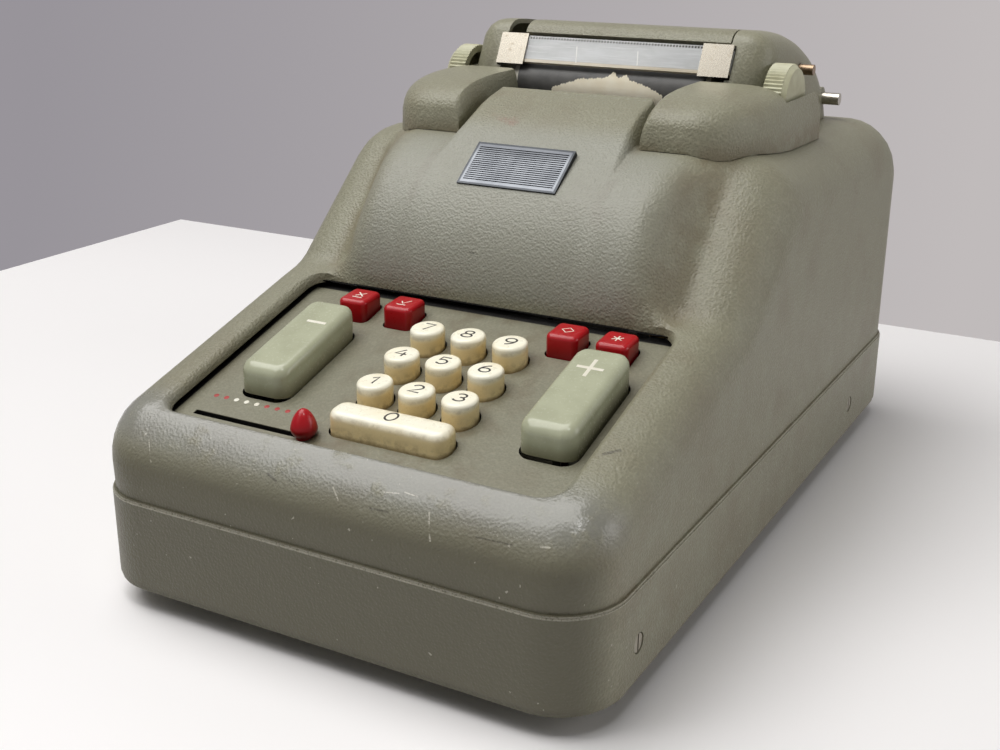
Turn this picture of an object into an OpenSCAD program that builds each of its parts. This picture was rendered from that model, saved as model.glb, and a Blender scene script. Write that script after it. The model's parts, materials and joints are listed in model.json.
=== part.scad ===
// Ten-key printing adding machine with a motor drive.
// Millimetres, +Z up, front towards -Y, origin at the middle of the footprint on the floor.
// Points of a side profile are written [y, z].

/* [Case] */
// width of the base across its lip
body_w = 222; // [212:1:236]
// depth of the base from front to back
body_d = 378; // [366:1:400]
// height of the feet, which is the gap under the base
foot_h = 9; // [5:0.5:14]
// diameter of a foot
foot_d = 22; // [14:1:30]
// height of the base band
base_h = 39; // [34:1:46]
// height of the top's rear edge above the floor
top_h = 162; // [155:0.5:170]
// fall of the top under the carriage, towards the rear, in degrees
top_fall = 1.2; // [0:0.1:2]
// fall of the top under the shoulders in degrees
front_fall = 3.4; // [1:0.1:5]
// corner radius of the base seen from above
corner_r = 26; // [18:1:32]
// step from the base in to the cover
lip = 1.3; // [0.5:0.1:2.5]
// thickness of the cast cover
wall = 3; // [2.5:0.25:3.5]
// thickness of the base pan's walls
base_wall = 5; // [4.5:0.25:6]
// thickness of the base pan's floor
base_floor = 3; // [2:0.25:4]
// radius of the front roll below the palm
front_r = 29; // [24:1:32]
// radius between the top and the rear wall
rear_r = 30; // [22:1:34]
// rounding along the side edges of the cover beside the keys
side_r = 16; // [12:1:18]
// rounding along the side edges of the cover at the rear
rear_side_r = 26; // [18:1:28]
// head diameter of the case screws
screw_d = 7; // [5:0.5:9]

/* [Keyboard] */
// slope of the key deck in degrees
slope = 15.9; // [13:0.1:18]
// distance from the cover's front to the middle row of keys
kb_setback = 74.5; // [72:0.5:78]
// height of the deck at the middle row above the base
deck_rise = 42.2; // [40:0.2:44]
// height of the side rails above the deck
rail_rise = 7; // [6:0.25:8]
// thickness of the deck plate
deck_t = 2; // [1.5:0.25:3]
// width of the opening over the deck
open_w = 172; // [166:1:174]
// rounding of the lip round the opening
lip_r = 4; // [3:0.2:4.4]
// gap between the lip and the deck
lip_gap = 2.6; // [1.5:0.1:2.8]
// distance between columns of digit keys
col_pitch = 19; // [18.5:0.25:20]
// distance between rows of digit keys along the slope
row_pitch = 19.8; // [19.4:0.2:20.4]
// offset of the digit block to the right of the middle
block_x = 8.6; // [6:0.2:10]
// diameter of a digit key
key_d = 14.2; // [12:0.2:15]
// height of a key's top above the deck
key_h = 8.7; // [7.5:0.1:11]
// height of the zero bar's top above the deck
zero_h = 8.2; // [7:0.1:10]
// height of a red key's top above the deck
fn_h = 7.8; // [7:0.1:10]
// how far a key goes down
key_travel = 4; // [2.5:0.25:4.5]
// gap round a key in the deck
key_gap = 0.7; // [0.4:0.1:1]
// width of a motor bar
bar_w = 22.5; // [20:0.5:24]
// length of a motor bar along the slope
bar_l = 51; // [46:1:54]
// height of a motor bar's top above the deck
bar_h = 13; // [10:0.5:15]
// distance of the plus bar from the middle of the digit block
plus_x = 60.2; // [58:0.2:62]
// distance of the minus bar from the middle of the digit block
minus_x = 64.8; // [62:0.2:66]
// length of the zero bar
zero_l = 52; // [50:0.5:57]
// depth of the zero bar along the slope
zero_w = 12; // [11:0.5:13]
// tilt of the digit and function keys' tops, flatter than the deck
key_tilt = 6; // [0:1:16]
// side of a red function key
fn_w = 13.8; // [12:0.2:15]
// travel of the column lever
lever_travel = 51.5; // [44:0.5:52]
// diameter of a key stem
stem_d = 3; // [2:0.25:4]

/* [Front panel] */
// half width of the raised hood
hood_half = 41; // [39:0.5:42]
// height of the hood's rear edge above the top's rear edge
hood_rise = 23.5; // [20:0.5:25]
// half width of the bulging panel where it is full
belly_in = 62; // [58:1:66]
// half width where the panel runs out into the side rails
belly_out = 85; // [82:1:88]
// angle of the side rails behind the deck
rise_angle = 45; // [40:1:50]
// width of the bare name plate
plate_w = 46.6; // [40:0.2:50]
// height of the bare name plate
plate_h = 24; // [18:0.5:25]

/* [Carriage] */
// diameter of the platen
platen_d = 26; // [22:0.5:27]
// length of the platen's rubber
platen_l = 95; // [88:1:97]
// diameter of the platen axle
axle_d = 8; // [6:0.5:9]
// height of the platen axle above the top's rear edge
platen_rise = 20; // [19.5:0.5:21.5]
// diameter of a platen knob
knob_d = 33; // [28:0.5:34]
// width of a platen knob
knob_w = 10.5; // [8:0.5:11]
// how far the roll cover reaches past each end of the platen
cover_reach = 8.8; // [8:0.1:9.5]
// thickness of an end cap across the carriage
cap_w = 18; // [16:0.5:18.5]
// height of the carriage above the top's rear edge
carriage_h = 49.3; // [47.5:0.1:51]
// opening beside the left end of the roll cover
lid_gap = 9.5; // [4:0.5:12]
// thickness of the carriage shells
shell_t = 2.2; // [1.5:0.1:2.5]
// diameter of the roll cover's hinge rod
rod_d = 6; // [4:0.25:7]
// angle that the roll cover opens
lid_swing = 80; // [45:1:85]
// room that the paper roll leaves between the platen and the hinge
roll_room = 18.2; // [16:0.2:30]
// width of the paper
paper_w = 57; // [44:1:60]
// swing of the paper release lever in degrees
release_swing = 10; // [6:1:12]
// height of the shoulder covers above the top's rear edge
hump_h = 28.5; // [26.5:0.5:30.5]
// width of a shoulder cover
hump_w = 47.5; // [44:0.5:50]
// rounding of a shoulder cover's inner edge
hump_round = 4; // [2:0.5:7]
// diameter of a ribbon spool
spool_d = 29; // [22:0.5:30]

/* [Drive] */
// number of teeth on the motor pinion
pinion_n = 12; // [12:1:14]
// number of teeth on the drive gear
gear_n = 36; // [34:1:38]
// gear module
gear_m = 2; // [1.8:0.1:2.1]
// diameter of the motor
motor_d = 60; // [50:1:62]
// diameter of the main shaft
shaft_d = 10; // [8:0.5:12]
// thickness of a steel side frame
frame_t = 3; // [2:0.25:3.5]

/* [Hidden] */
$fn = 48;
// radial clearance of a running fit
run = 0.06;
// gap between pieces that pass each other
pass = 0.4;
// overshoot of a cutting tool past the face it opens
cut = 1;
base_top = foot_h + base_h;
floor_z = foot_h + base_floor;
front_y = lip - body_d/2;
rear_y = body_d/2 - lip;
cover_half = body_w/2 - lip;
cover_corner = corner_r - lip;

// key deck
kb_y = front_y + kb_setback;
kb_z = base_top + deck_rise;
deck_back = 47;
deck_front = -56;
deck_half = open_w/2 + 2;
back_y = deck_y(deck_back) + 1;
guide_z = base_top - 6;
guide_t = 2;
stem_tail = 3;
slot_v = -48.2;
lever_x = -24;
lever_t = 1.8;
slot_w = lever_t + 2*pass;
knob_lift = 0.4;
knob_bore = 6;
knob_r = 5.2;
knob_skirt = 1.2;
zero_v = -37.8;
fn_v = 35.5;
fn_x = [-53.9, -31.3, 45.1, 66.4];
bar_v = -6.2;
bar_at = [block_x - minus_x, block_x + plus_x];
bar_corner = 5.5;
zero_corner = 5;
fn_corner = 2.6;
open_corner = 8;
frame_x = deck_half - 2 - frame_t;
rail_rod_d = 6;
rail_rod_z = guide_z + 16;
rail_rod_y = [deck_y(slot_v) - 0.6, deck_y(zero_v) + (stem_d + rail_rod_d)/2 + 2*pass];

// front panel
foot_back = 2;
foot_dip = rail_rise - lip_gap - 0.4;
rise_y = back_y + 9.5;
rise_z = rail_line(rise_y);
hood_end = back_y + 82.5;
belly_end = back_y + 52;
seat_y = hood_end + 30;
top_back = rear_y - rear_r;
crest_z = top_z(hood_end - 6);
rise_top_y = rise_y + (crest_z - rise_z)/tan(rise_angle);
bend_r = 20;
bend_l = bend_r*tan((rise_angle - slope)/2);
crest_r = rear_side_r + 4;
crest_l = crest_r*tan(rise_angle/2);
front_c = [front_y + front_r, rail_line(front_y + front_r) - front_r/cos(slope)];
belly_curve = [[back_y + foot_back, rail_line(back_y) - foot_dip], [back_y - 0.5, rail_line(back_y) + 31.6],
    [back_y + 23, top_z(belly_end) - 4.8], [belly_end, top_z(belly_end)]];
hood_curve = [bezier(belly_curve, 0.575), [back_y + 34, rail_line(back_y) + 51.1],
    [hood_end - 20.5, top_h + hood_rise - 1.5], [hood_end, top_h + hood_rise]];
plate_at = bezier(hood_curve, 0.2);
plate_dir = bezier(hood_curve, 0.22) - bezier(hood_curve, 0.18);
plate_tilt = atan2(plate_dir[1], plate_dir[0]) + 3;
plate_x = -1;
plate_t = 2.6;

// carriage
platen_y = hood_end + 45.5;
platen_z = top_h + platen_rise;
cover_half_w = platen_l/2 + cover_reach;
cap_in = cover_half_w + 0.7;
cap_out = cap_in + cap_w;
cap_front = platen_y - 13;
cap_back = top_back + 4;
cap_top = top_h + carriage_h;
cap_edge = 12;
lean = 26;
bar_foot = [cap_front + 1, platen_z + 11.2];
clip_lap = 2;
tear_l = 2*(cap_in + clip_lap);
tear_h = 13;
tear_t = 2.4;
clip_w = 14.5;
clip_t = 0.8;
bracket_w = 7.6;
hinge_y = cap_back - 14;
hinge_z = top_h + 10.5;
lid_front = cap_front + 11;
lid_left = cap_in - lid_gap;
bay_front = platen_y + platen_d/2;
bay_back = hinge_y - (rod_d + 5)/2;
roll_d = bay_back - bay_front - roll_room;
roll_y = bay_back - 3.85 - roll_d/2;
roll_z = top_h + 9;
paper_x = -paper_w/2;
paper_t = 0.3;
release_y = platen_y + 0.473*(hinge_y - platen_y);
release_z = platen_z + 9.5;
release_r = norm([release_y - platen_y, release_z - platen_z]);
release_a = atan2(release_z - platen_z, release_y - platen_y);
release_d = 5;
knob_x = cap_out + 1;
hump_in = hood_half + 3;
hump_out = hump_in + hump_w;
hump_front = belly_end + 2;
hump_crest = platen_y - 18.5;
hump_mid = hump_in + 20;
hump_seat = 0.3;
hump_rear = platen_y + 25;
hump_cut_x = knob_x + knob_w + 1.5;
skirt = 3;
spool_x = hump_in + 22;
spool_y = hump_crest - 13;
spool_h = 11;
post_d = 5;
spool_z = top_z(spool_y - spool_d/2) + pass;
post_z = top_z(spool_y - post_d/2);

// works
motor_y = rear_y - 73;
works_z = floor_z + 44;
main_y = motor_y - gear_m*(pinion_n + gear_n)/2;
gear_w = 8;
motor_x = -60;
motor_l = 80;
gear_x = 32;
add_y = back_y + 48;
add_z = floor_z + 52;
sector_y = hood_end - 16.5;
sector_z = top_h - 50.5;
frame_top = top_h - 26.5;
tie_d = 8;
ties = [[add_y - 30, floor_z + 14], [rear_y - 40, floor_z + 14], [platen_y, frame_top - 12],
        [rear_y - 40, frame_top - 40]];

function deck_y(v) = kb_y + v*cos(slope);
function deck_z(v) = kb_z + v*sin(slope);
function rail_line(y) = kb_z + rail_rise + (y - kb_y)*tan(slope);
function top_z(y) = top_h + (top_back - max(y, seat_y))*tan(top_fall) + max(0, seat_y - y)*tan(front_fall);
function arc(c, r, a0, a1, n) =
    [for (i = [0:n - 1]) let (a = a0 + (a1 - a0)*i/(n - 1)) c + r*[cos(a), sin(a)]];
function bezier(p, t) =
    p[0]*pow(1 - t, 3) + 3*p[1]*t*pow(1 - t, 2) + 3*p[2]*t*t*(1 - t) + p[3]*t*t*t;
function smooth(a, b, x) = let (t = min(1, max(0, (x - a)/(b - a)))) t*t*(3 - 2*t);
function mix(a, b, t) = a*(1 - t) + b*t;

// Side profiles of the cover, all with the same number of points.
function front_part(z0, foot) = concat([[front_y, z0]], arc(front_c, front_r, 180, 90 + slope, 7), [foot]);
function rear_part(z0) = concat([[seat_y, top_z(seat_y)]],
    arc([rear_y - rear_r, top_h - rear_r], rear_r, 90, 0, 7), [[rear_y, z0]]);
function rail_profile(z0) = concat(front_part(z0, [back_y, rail_line(back_y)]),
    arc([rise_y - bend_l*cos(slope) - bend_r*sin(slope), rise_z - bend_l*sin(slope) + bend_r*cos(slope)],
        bend_r, slope - 90, rise_angle - 90, 4),
    arc([rise_top_y + crest_l, crest_z - crest_r], crest_r, 90 + rise_angle, 90, 6),
    [[hood_end, top_z(hood_end)]], rear_part(z0));
function belly_profile(z0) = concat(front_part(z0, belly_curve[0]),
    [for (i = [1:10]) bezier(belly_curve, i/10)],
    [[hood_end, top_z(hood_end)]], rear_part(z0));
function hood_profile(z0) = concat(front_part(z0, belly_curve[0]),
    [for (i = [1:5]) bezier(belly_curve, 0.115*i)],
    [for (i = [1:5]) bezier(hood_curve, i/5)], [[hood_end + 6, top_h + hood_rise]], rear_part(z0));
profile_n = len(rail_profile(0));

// Section of the cover at x, moved inwards by inset and rounded towards the sides.
function section(x, inset, z0) =
    let (ax = abs(x),
         belly = 1 - smooth(belly_in, belly_out, ax),
         hood = 1 - smooth(hood_half - inset - 4, hood_half - inset + 2, ax),
         a = rail_profile(z0), b = belly_profile(z0), c = hood_profile(z0),
         p = [for (i = [0:profile_n - 1]) mix(mix(a[i], b[i], belly), c[i], hood)],
         s = cover_half - inset - ax,
         valley = 3*exp(-pow((ax - (belly_in + belly_out)/2 - 3)/7, 2)))
    [for (i = [0:profile_n - 1])
        let (d = p[min(i + 1, profile_n - 1)] - p[max(i - 1, 0)],
             n = i == 0 ? [1, 0] : i == profile_n - 1 ? [-1, 0] : [d[1], -d[0]]/norm(d),
             side = mix(side_r, rear_side_r, smooth(back_y, rise_top_y, p[i][0])),
             r = max(1, mix(cover_corner, side, abs(n[1])) - inset),
             e = s >= r ? 0 : r - sqrt(max(0, r*r - pow(r - s, 2))),
             v = i > 9 && i < 18 ? valley*(1 - smooth(top_h - 40, top_h, p[i][1])) : 0)
        p[i] + n*(inset + e + v)];
function stations(inset, fine) =
    let (c = cover_corner - inset, a = cover_half - inset - c, h = hood_half - inset,
         k = fine ? 7 : 4, n = fine ? 10 : 6)
    concat([for (i = [0:k]) a + c*cos(i*90/k)],
        [for (i = [1:n - 1]) mix(a, h + 2, pow(i/n, 1.4))],
        fine ? [h + 2, h + 0.8, h - 0.8, h - 2.4, h - 4, h/2, 0] : [h + 2, h - 0.8, h - 4, 0]);
function both_sides(xs) = concat([for (x = xs) -x], [for (i = [len(xs) - 2:-1:0]) xs[i]]);

// Closed loft through sections of n points that are listed from -X to +X, its ends closed from a point inside.
module loft(points, n) {
    m = len(points)/n;
    hubs = [for (k = [0, m - 1]) let (p = [for (i = [0:n - 1]) points[k*n + i]], sum = [for (q = p) 1]*p)
        0.4*(p[0] + p[n - 1]) + 0.2*sum/n];
    skin = [for (k = [0:m - 2], i = [0:n - 1]) let (j = (i + 1)%n, a = k*n + i, b = k*n + j,
        c = a + n, d = b + n) each [[a, b, c], [b, d, c]]];
    ends = [for (i = [0:n - 1]) let (j = (i + 1)%n) each [[j, i, m*n], [(m - 1)*n + i, (m - 1)*n + j, m*n + 1]]];
    polyhedron(concat(points, hubs), concat(skin, ends));
}

module cover_loft(inset, z0, fine) {
    xs = both_sides(stations(inset, fine));
    loft([for (x = xs) each [for (p = section(x, inset, z0)) [x, p[0], p[1]]]], profile_n);
}

// Rectangle with round corners, centred.
module rrect(w, d, r) {
    square([w - 2*r, d], center = true);
    square([w, d - 2*r], center = true);
    for (x = [-1, 1], y = [-1, 1]) translate([x*(w/2 - r), y*(d/2 - r)]) circle(r);
}

// Child drawn in [y, z] and run along X from x0 to x1.
module along_x(x0, x1) {
    translate([x0, 0, 0]) rotate([90, 0, 90]) linear_extrude(x1 - x0) children();
}

// Rod along X.
module rod(y, z, d, x0, x1) {
    translate([x0, y, z]) rotate([0, 90, 0]) cylinder(d = d, h = x1 - x0);
}

// Child placed on the sloping deck, with its own Z away from the deck.
module on_deck() {
    translate([0, kb_y, kb_z]) rotate([slope, 0, 0]) children();
}

// Child placed upright over a point of the deck.
module at_key(x, v) {
    translate([x, deck_y(v), deck_z(v)]) children();
}

// Round-cornered outline of 28 points, or a circle where the corners meet, counter-clockwise from above.
function rim(w, l, r) = r > w/2 - 0.1
    ? [for (i = [0:27]) w/2*[cos(i*360/28), sin(i*360/28)]]
    : [for (q = [0:3], i = [0:6]) let (sx = q == 0 || q == 3 ? 1 : -1, sy = q < 2 ? 1 : -1, a = 90*q + 15*i)
        [sx*(w/2 - r), sy*(l/2 - r)] + r*[cos(a), sin(a)]];

module deck_opening(grow, from, h) {
    on_deck() translate([0, (deck_back + deck_front)/2, from])
        linear_extrude(h) rrect(open_w + 2*grow, deck_back - deck_front + 2*grow, open_corner + grow);
}

// Space over the deck: it widens by the lip's rounding at the front and the sides, and ends upright at the back.
module lip_space() {
    top = rail_rise*cos(slope) + 0.13;
    rings = concat([[lip_r, top + 3]], [for (i = [5:-1:0]) [lip_r*(1 - cos(i*18)), top - lip_r*(1 - sin(i*18))]],
        [[0, -1]]);
    on_deck() loft([for (g = rings) let (front = deck_front - g[0],
            back = (back_y + foot_back - 0.6 - kb_y + g[1]*sin(slope))/cos(slope))
        each [for (p = rim(open_w + 2*g[0], back - front, open_corner + g[0]))
            [p[0], p[1] + (front + back)/2, g[1]]]], 28);
}

module top_cover() {
    color("DarkOliveGreen")
    difference() {
        cover_loft(0, base_top, true);
        difference() {
            cover_loft(wall, base_top - cut, false);
            deck_opening(wall, lip_gap, rail_rise + 20);
        }
        lip_space();
        on_deck() translate([-deck_half - pass, deck_back - 8, -cut])
            cube([2*(deck_half + pass), 20, lip_gap + cut]);
        translate([-(hood_half + 2), hood_end, top_h - 20])
            cube([2*hood_half + 4, cap_front - hood_end, 60]);
        translate([-cover_half_w, cap_front - 1, top_h - 20])
            cube([2*cover_half_w, hinge_y + 10 - cap_front, 60]);
        name_plate_blank(0.05);
    }
}

module base_outline(inset) {
    rrect(body_w - 2*inset, body_d - 2*inset, corner_r - inset);
}

module base_tray() {
    color("OliveDrab")
    difference() {
        union() {
            translate([0, 0, foot_h + 3]) linear_extrude(base_h - 4) base_outline(0);
            translate([0, 0, foot_h + 1]) linear_extrude(2) base_outline(0.6);
            translate([0, 0, foot_h]) linear_extrude(1) base_outline(1.8);
            translate([0, 0, base_top - 1]) linear_extrude(1) base_outline(0.5);
        }
        translate([0, 0, floor_z]) linear_extrude(base_h) base_outline(base_wall);
        case_screw_holes();
        power_inlet_blank(pass/4);
    }
}

module case_screw_places() {
    for (s = [-1, 1], y = [front_y + 35, rear_y - 75])
        translate([s*body_w/2, y, foot_h + base_h*0.42]) rotate([0, -90*s, 0]) children();
}

module case_screw_holes() {
    case_screw_places() {
        translate([0, 0, -1]) cylinder(d = screw_d + 1, h = 2.6);
        cylinder(d = screw_d*0.55, h = base_wall + 1);
    }
}

module case_screws() {
    color("Silver")
    case_screw_places() difference() {
        union() {
            translate([0, 0, 0.3]) cylinder(d = screw_d, h = 1.3);
            translate([0, 0, 1.6]) cylinder(d = screw_d*0.55, h = base_wall - 1.6 + 4);
            translate([0, 0, base_wall]) cylinder(d = screw_d + 2, h = 2.5, $fn = 6);
        }
        translate([-screw_d, -0.5, 0]) cube([2*screw_d, 1, 0.9]);
    }
}

module rubber_feet() {
    color("DimGray")
    for (x = [-1, 1], y = [-1, 1])
        translate([x*(body_w/2 - corner_r - 4), y*(body_d/2 - corner_r - 4), 0])
            rotate_extrude() polygon([[0, 0], [foot_d/2 - 1.5, 0], [foot_d/2, 1.5], [foot_d/2 - 1, foot_h],
                [0, foot_h]]);
}

module power_inlet_blank(grow) {
    translate([60, body_d/2 - base_wall/2, foot_h + base_h*0.48])
        cube([36 + 2*grow, base_wall + 4*grow, 22 + 2*grow], center = true);
}

module power_inlet() {
    color("Black")
    difference() {
        union() {
            power_inlet_blank(0);
            translate([60, body_d/2 - base_wall - 7, foot_h + base_h*0.48]) cube([42, 14, 26], center = true);
        }
        translate([60, body_d/2 + cut, foot_h + base_h*0.48]) rotate([90, 0, 0])
            linear_extrude(15) rrect(28, 15, 6);
    }
    color("Silver")
    for (x = [-6.5, 6.5]) translate([60 + x, body_d/2 - 3, foot_h + base_h*0.48]) rotate([90, 0, 0])
        cylinder(d = 4, h = 12);
}

module keyboard_plate() {
    color("Gray")
    difference() {
        on_deck() translate([0, (deck_back + deck_front)/2, -deck_t])
            linear_extrude(deck_t) rrect(2*deck_half, deck_back - deck_front + 12, 6);
        for (c = [-1:1], r = [-1:1]) key_well(block_x + c*col_pitch, r*row_pitch) circle(key_d/2 + key_gap);
        for (x = fn_x) key_well(x, fn_v) rrect(fn_w + 2*key_gap, fn_w + 2*key_gap, fn_corner + key_gap);
        for (x = bar_at) key_well(x, bar_v)
            rrect(bar_w + 2*key_gap, bar_l + 2*key_gap, bar_corner + key_gap);
        key_well(block_x, zero_v) rrect(zero_l + 2*key_gap, zero_w + 2*key_gap, zero_corner + key_gap);
        key_well(lever_x - lever_travel/2, slot_v) rrect(lever_travel + lever_t + 2, slot_w, 0.5);
    }
}

module key_well(x, v) {
    at_key(x, v) translate([0, 0, -15]) linear_extrude(30) children();
}

// Key with upright sides, a tilted top with rounded edges, and one or more stems.
module key(x, v, h, w, l, corner, edge, tilt, stems) {
    rings = concat([for (i = [4:-1:0]) [edge*(1 - cos(i*22.5)), h - edge*(1 - sin(i*22.5)), tan(tilt)]],
        [[0, -key_travel - 2, 0]]);
    at_key(x, v) {
        loft([for (g = rings) each [for (p = rim(w - 2*g[0], l - 2*g[0], max(0.6, corner - g[0])))
            [p[0], p[1], g[1] + p[1]*g[2]]]], 28);
        for (s = stems) translate([s[0], s[1], guide_z - guide_t - key_travel - stem_tail - deck_z(v)])
            cylinder(d = stem_d, h = deck_z(v) - guide_z + guide_t + stem_tail - 1.5);
    }
}

module digit_key(c, r) {
    color("Ivory")
    key(block_x + c*col_pitch, r*row_pitch, key_h, key_d, key_d, key_d/2, 1.5, key_tilt, [[0, 0]]);
}
module key_1() { digit_key(-1, -1); }
module key_2() { digit_key(0, -1); }
module key_3() { digit_key(1, -1); }
module key_4() { digit_key(-1, 0); }
module key_5() { digit_key(0, 0); }
module key_6() { digit_key(1, 0); }
module key_7() { digit_key(-1, 1); }
module key_8() { digit_key(0, 1); }
module key_9() { digit_key(1, 1); }

module key_0() {
    color("Ivory")
    key(block_x, zero_v, zero_h, zero_l, zero_w, zero_corner, 3, key_tilt, [[-zero_l*0.3, 0], [zero_l*0.3, 0]]);
}

module motor_bar(x) {
    color("DarkSeaGreen")
    key(x, bar_v, bar_h, bar_w, bar_l, bar_corner, 4, slope, [[0, -bar_l*0.3], [0, bar_l*0.3]]);
}
module minus_bar() { motor_bar(bar_at[0]); }
module plus_bar() { motor_bar(bar_at[1]); }

module function_key(i) {
    color("Crimson")
    key(fn_x[i], fn_v, fn_h, fn_w, fn_w, fn_corner, 2, key_tilt, [[0, 0]]);
}
module non_add_key() { function_key(0); }
module repeat_key() { function_key(1); }
module subtotal_key() { function_key(2); }
module total_key() { function_key(3); }

module column_knob() {
    color("Red")
    difference() {
        at_key(lever_x, slot_v) translate([0, 0, knob_lift]) difference() {
            rotate_extrude() polygon(concat([[0, -knob_skirt], [knob_r*cos(50), -knob_skirt]], [for (a = [-50:10:90])
                [knob_r*cos(a)*(a > 0 ? 1 - 0.2*sin(a) : 1), 3.4 + (a > 0 ? 7.6 : 4.4)*sin(a)]]));
            translate([0, 0, -knob_skirt - cut]) cylinder(d = lever_t, h = knob_bore + knob_skirt + cut);
        }
        on_deck() translate([lever_x, slot_v, pass - 2*knob_r]) cube(4*knob_r, center = true);
    }
}

module column_slide() {
    color("Silver")
    difference() {
        union() {
            translate([lever_x - 5, rail_rod_y[0] - 6, rail_rod_z - 6])
                cube([19, rail_rod_y[1] - rail_rod_y[0] + 12, 12]);
            translate([lever_x, deck_y(slot_v), rail_rod_z])
                cylinder(d = lever_t, h = deck_z(slot_v) + knob_lift + knob_bore - rail_rod_z);
        }
        for (y = rail_rod_y) rod(y, rail_rod_z, rail_rod_d + 2*run, lever_x - 20, lever_x + 20);
    }
}

module slide_rods() {
    color("LightGray")
    for (y = rail_rod_y) rod(y, rail_rod_z, rail_rod_d, -frame_x, frame_x);
}

module key_guide() {
    color("SlateGray")
    difference() {
        translate([-frame_x, deck_y(deck_front) + 3, guide_z - guide_t])
            cube([2*frame_x, back_y - deck_y(deck_front) - 6, guide_t]);
        for (c = [-1:1], r = [-1:1]) stem_hole(block_x + c*col_pitch, deck_y(r*row_pitch));
        for (x = fn_x) stem_hole(x, deck_y(fn_v));
        for (x = bar_at, e = [-1, 1]) stem_hole(x, deck_y(bar_v) + e*bar_l*0.3);
        for (e = [-1, 1]) stem_hole(block_x + e*zero_l*0.3, deck_y(zero_v));
    }
}

module stem_hole(x, y) {
    translate([x, y, guide_z - guide_t - cut]) cylinder(d = stem_d + 2*run, h = guide_t + 2*cut);
}

module side_frame(s) {
    under = -deck_t/cos(slope);
    color("LightSteelBlue")
    difference() {
        along_x(s > 0 ? frame_x : -frame_x - frame_t, s > 0 ? frame_x + frame_t : -frame_x)
            polygon([[deck_y(deck_front), floor_z], [rear_y - 22, floor_z], [rear_y - 22, frame_top - 24],
                [rear_y - 46, frame_top], [rise_y + 30, frame_top],
                [rise_y - 6, deck_z(deck_back) + under - 6], [deck_y(deck_back), deck_z(deck_back) + under],
                [deck_y(deck_front), deck_z(deck_front) + under]]);
        rod(main_y, works_z, shaft_d + 2*run, -cover_half, cover_half);
        rod(add_y, add_z, axle_d + 2*run, -cover_half, cover_half);
        rod(sector_y, sector_z, axle_d, -cover_half, cover_half);
    }
}
module left_frame() { side_frame(-1); }
module right_frame() { side_frame(1); }

module frame_ties() {
    color("LightGray")
    for (t = ties) rod(t[0], t[1], tie_d, -frame_x, frame_x);
}

// Child placed on the hood where the name plate lies.
module on_name_plate() {
    translate([plate_x, plate_at[0], plate_at[1]]) rotate([plate_tilt, 0, 0]) children();
}

module name_plate_blank(grow) {
    on_name_plate() translate([0, 0, 0.3]) cube([plate_w + 2*grow, plate_h + 2*grow, plate_t], center = true);
}

module name_plate() {
    color("Silver")
    difference() {
        name_plate_blank(0);
        on_name_plate() for (k = [-8:8]) translate([0, k*1.15, plate_t/2 + 0.3])
            cube([plate_w - 4, 0.55, 1], center = true);
    }
}

// Dome of a shoulder cover over x and y, from 0 at its outline to 1 on its crest.
function hump_f(x, y, t) =
    let (u = max(0, hump_crest - y)/(hump_crest - hump_front - t),
         w = max(0, x - hump_mid)/(hump_out - t - hump_mid),
         v = max(0, hump_in + t + hump_round - x)/(hump_round + 0.05),
         q = pow(pow(u, 2.1) + pow(w, 2.1), 1/2.1))
    pow(max(0, 1 - pow(min(1, q), 3.2)), 1/3.2)*pow(max(0.03, 1 - pow(min(1, v), 2.4)), 1/2.4);
function hump_edge(x, t) = let (w = min(0.9999, max(0, x - hump_mid)/(hump_out - t - hump_mid)))
    hump_crest - (hump_crest - hump_front - t)*pow(1 - pow(w, 2.1), 1/2.1);
// Foot of a shoulder cover, which follows the top cover under it.
function hump_foot(x, y) = let (p = section(x, 0, base_top),
        on = [for (i = [9:profile_n - 2]) if (p[i][0] <= y && p[i + 1][0] > y) i], i = on[len(on) - 1])
    mix(p[i][1], p[i + 1][1], (y - p[i][0])/(p[i + 1][0] - p[i][0])) + hump_seat;
function hump_z(x, y, t) =
    mix(hump_foot(x, y) + skirt - t/2, top_h + hump_h - t, hump_f(x, y, t));
module hump_loft(t, drop, rear) {
    xs = concat([for (i = [0:5]) hump_in + t + hump_round*(1 - cos(i*18))],
        [for (i = [0:9]) mix(hump_mid - 4, hump_out - t, sin(i*10))]);
    n = 12;
    loft([for (x = xs) let (e = hump_edge(x, t)) each concat(
        [for (y = [rear, seat_y, for (k = [0.5, 0.25, 0.1, 0]) mix(e, seat_y, k)])
            [x, y, hump_foot(x, y) - drop]],
        [for (i = [0:n - 1]) let (y = e + (hump_crest - e)*(1 - cos(i*90/(n - 1)))) [x, y, hump_z(x, y, t)]],
        [[x, rear, hump_z(x, hump_crest, t)]])], n + 7);
}

module right_shoulder() {
    color("DarkKhaki")
    difference() {
        hump_loft(0, 0, hump_rear);
        hump_loft(shell_t, cut, hump_rear + cut);
        translate([0, hump_crest + 1, top_h - cut]) cube([hump_cut_x, 60, 60]);
    }
}
module left_shoulder() { mirror([1, 0, 0]) right_shoulder(); }

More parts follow.
